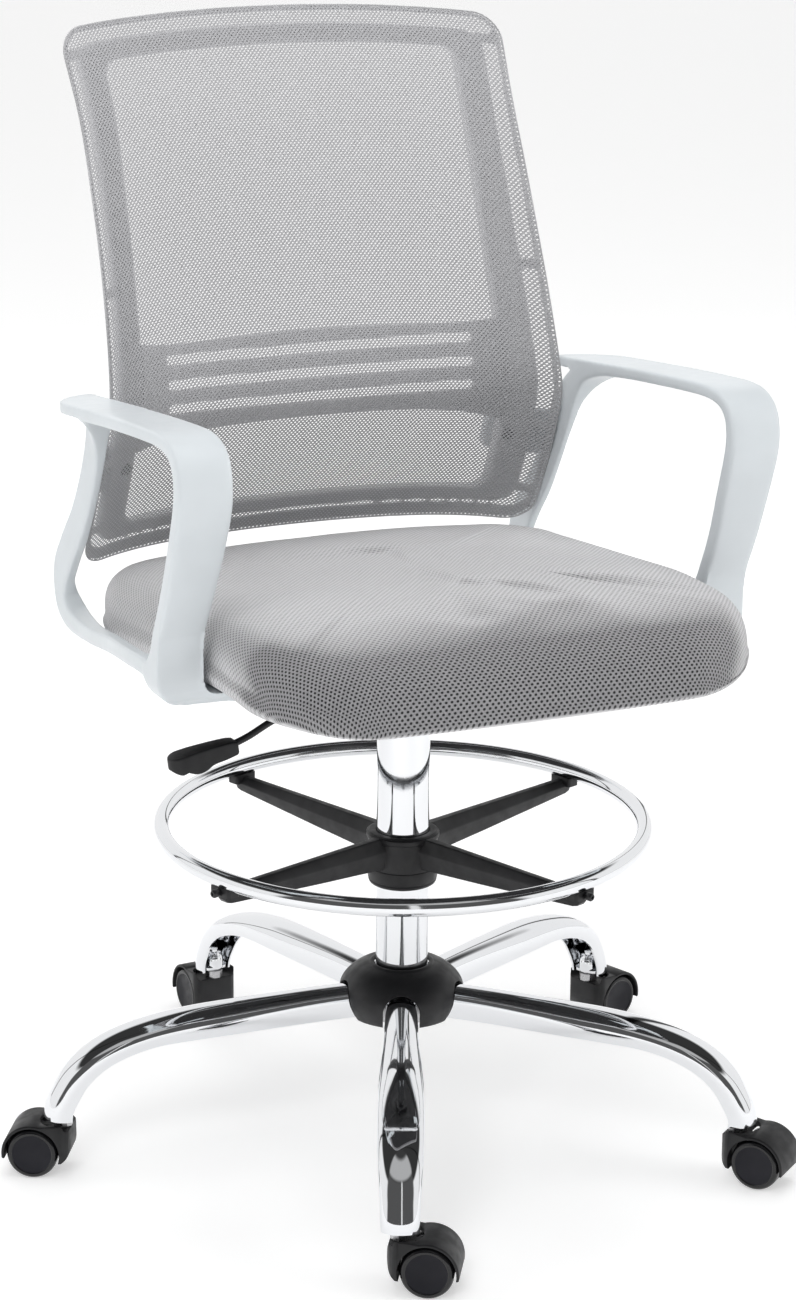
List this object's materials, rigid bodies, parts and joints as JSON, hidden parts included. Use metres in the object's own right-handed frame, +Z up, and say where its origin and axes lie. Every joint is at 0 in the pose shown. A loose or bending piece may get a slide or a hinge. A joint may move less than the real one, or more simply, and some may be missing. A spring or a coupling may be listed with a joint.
{
  "type": "drafting chair",
  "caption": "Tall swivel chair with a mesh back, padded seat, looped arms, foot ring on a gas-lift column and a star base on twin-wheel casters.",
  "frame": {"origin": "on the floor, at the middle of the object's outline seen from above; the column's axis stands at x 0.020, y -0.016, because the five legs and casters do not spread evenly about it", "axes": "+Z up, the sitter faces -Y, +X is the sitter's left"},
  "size_m": [0.7366, 0.7319, 1.048],
  "materials": {
    "chrome": "mirror bright",
    "steel": "plain",
    "black_plastic": "satin black, fine texture",
    "black_steel": "black powder coat",
    "white_plastic": "smooth white, satin",
    "grey_plastic": "matte grey",
    "seat_fabric": "grey spacer mesh upholstery",
    "mesh_fabric": "open light grey mesh",
    "plywood": "moulded plywood"
  },
  "bodies": {
    "base": {"base_hub": "steel", "hub_cover": "black_plastic", "base_leg_1": "chrome", "base_leg_2": "chrome", "base_leg_3": "chrome", "base_leg_4": "chrome", "base_leg_5": "chrome", "caster_1_stem": "steel", "caster_2_stem": "steel", "caster_3_stem": "steel", "caster_4_stem": "steel", "caster_5_stem": "steel", "stand_tube": "chrome", "guide_bush": "black_plastic", "piston_rod": "steel", "thrust_bearing": "steel", "retaining_clip": "black_steel"},
    "caster_1": {"caster_1_hood": "black_plastic", "caster_1_axle": "steel"},
    "caster_1_left": {"caster_1_wheel_left": "black_plastic"},
    "caster_1_right": {"caster_1_wheel_right": "black_plastic"},
    "caster_2": {"caster_2_hood": "black_plastic", "caster_2_axle": "steel"},
    "caster_2_left": {"caster_2_wheel_left": "black_plastic"},
    "caster_2_right": {"caster_2_wheel_right": "black_plastic"},
    "caster_3": {"caster_3_hood": "black_plastic", "caster_3_axle": "steel"},
    "caster_3_left": {"caster_3_wheel_left": "black_plastic"},
    "caster_3_right": {"caster_3_wheel_right": "black_plastic"},
    "caster_4": {"caster_4_hood": "black_plastic", "caster_4_axle": "steel"},
    "caster_4_left": {"caster_4_wheel_left": "black_plastic"},
    "caster_4_right": {"caster_4_wheel_right": "black_plastic"},
    "caster_5": {"caster_5_hood": "black_plastic", "caster_5_axle": "steel"},
    "caster_5_left": {"caster_5_wheel_left": "black_plastic"},
    "caster_5_right": {"caster_5_wheel_right": "black_plastic"},
    "foot_rest": {"foot_ring": "chrome", "ring_spider": "black_plastic", "ring_screw_1": "black_steel", "ring_screw_2": "black_steel", "ring_screw_3": "black_steel", "ring_screw_4": "black_steel"},
    "ring_lock": {"ring_lock_collar": "black_plastic"},
    "gas_lift": {"gas_cylinder": "black_steel"},
    "release_pin": {"release_button": "steel"},
    "seat": {"seat_plate": "black_steel", "seat_board": "plywood", "seat_cushion": "seat_fabric", "arm_left": "white_plastic", "arm_right": "white_plastic", "back_frame": "grey_plastic", "lumbar_support": "grey_plastic", "back_mesh": "mesh_fabric", "back_bolt_left": "black_steel", "back_bolt_right": "black_steel", "arm_bolt_left": "black_steel", "arm_bolt_right": "black_steel"},
    "height_lever": {"lever_rod": "black_steel", "lever_grip": "black_plastic"}
  },
  "joints": [
    {"name": "caster_1_swivel", "type": "hinge", "parent": "base", "child": "caster_1", "pos_m": [-0.11768, -0.31811, 0.045], "axis": [0, 0, 1], "continuous": true},
    {"name": "caster_1_left_spin", "type": "hinge", "parent": "caster_1", "child": "caster_1_left", "pos_m": [-0.09563, -0.33189, 0.024], "axis": [0.5299, 0.848, 0], "continuous": true},
    {"name": "caster_1_right_spin", "type": "hinge", "parent": "caster_1", "child": "caster_1_right", "pos_m": [-0.09563, -0.33189, 0.024], "axis": [0.5299, 0.848, 0], "continuous": true},
    {"name": "caster_2_swivel", "type": "hinge", "parent": "base", "child": "caster_2", "pos_m": [0.26478, -0.2403, 0.045], "axis": [0, 0, 1], "continuous": true},
    {"name": "caster_2_left_spin", "type": "hinge", "parent": "caster_2", "child": "caster_2_left", "pos_m": [0.28042, -0.26106, 0.024], "axis": [0.7986, 0.6018, 0], "continuous": true},
    {"name": "caster_2_right_spin", "type": "hinge", "parent": "caster_2", "child": "caster_2_right", "pos_m": [0.28042, -0.26106, 0.024], "axis": [0.7986, 0.6018, 0], "continuous": true},
    {"name": "caster_3_swivel", "type": "hinge", "parent": "base", "child": "caster_3", "pos_m": [0.30896, 0.14748, 0.045], "axis": [0, 0, 1], "continuous": true},
    {"name": "caster_3_left_spin", "type": "hinge", "parent": "caster_3", "child": "caster_3_left", "pos_m": [0.33339, 0.15638, 0.024], "axis": [-0.342, 0.9397, 0], "continuous": true},
    {"name": "caster_3_right_spin", "type": "hinge", "parent": "caster_3", "child": "caster_3_right", "pos_m": [0.33339, 0.15638, 0.024], "axis": [-0.342, 0.9397, 0], "continuous": true},
    {"name": "caster_4_swivel", "type": "hinge", "parent": "base", "child": "caster_4", "pos_m": [-0.04619, 0.30934, 0.045], "axis": [0, 0, 1], "continuous": true},
    {"name": "caster_4_left_spin", "type": "hinge", "parent": "caster_4", "child": "caster_4_left", "pos_m": [-0.048, 0.33527, 0.024], "axis": [-0.9976, -0.0698, 0], "continuous": true},
    {"name": "caster_4_right_spin", "type": "hinge", "parent": "caster_4", "child": "caster_4_right", "pos_m": [-0.048, 0.33527, 0.024], "axis": [-0.9976, -0.0698, 0], "continuous": true},
    {"name": "caster_5_swivel", "type": "hinge", "parent": "base", "child": "caster_5", "pos_m": [-0.30987, 0.02158, 0.045], "axis": [0, 0, 1], "continuous": true},
    {"name": "caster_5_left_spin", "type": "hinge", "parent": "caster_5", "child": "caster_5_left", "pos_m": [-0.33215, 0.03497, 0.024], "axis": [-0.515, -0.8572, 0], "continuous": true},
    {"name": "caster_5_right_spin", "type": "hinge", "parent": "caster_5", "child": "caster_5_right", "pos_m": [-0.33215, 0.03497, 0.024], "axis": [-0.515, -0.8572, 0], "continuous": true},
    {"name": "seat_height", "type": "slide", "parent": "base", "child": "gas_lift", "axis": [0, 0, 1], "range_m": [0, 0.2]},
    {"name": "seat_swivel", "type": "hinge", "parent": "gas_lift", "child": "seat", "pos_m": [0.02, -0.016, 0.45], "axis": [0, 0, 1], "continuous": true},
    {"name": "lever_lift", "type": "hinge", "parent": "seat", "child": "height_lever", "pos_m": [-0.014, -0.03, 0.474], "axis": [0, 1, 0], "range_deg": [0, 5], "stiffness_Nm_per_rad": 1.5},
    {"name": "release_press", "type": "slide", "parent": "gas_lift", "child": "release_pin", "axis": [0, 0, -1], "range_m": [0, 0.0032], "stiffness_N_per_m": 400},
    {"name": "ring_height", "type": "slide", "parent": "base", "child": "foot_rest", "axis": [0, 0, 1], "range_m": [-0.07, 0.07]},
    {"name": "ring_lock_twist", "type": "hinge", "parent": "foot_rest", "child": "ring_lock", "pos_m": [0.02, -0.016, 0.262], "axis": [0, 0, 1], "range_deg": [0, 60]}
  ],
  "couplings": [
    {"joint": "release_press", "follows": "lever_lift", "m_per_rad": 0.036}
  ]
}
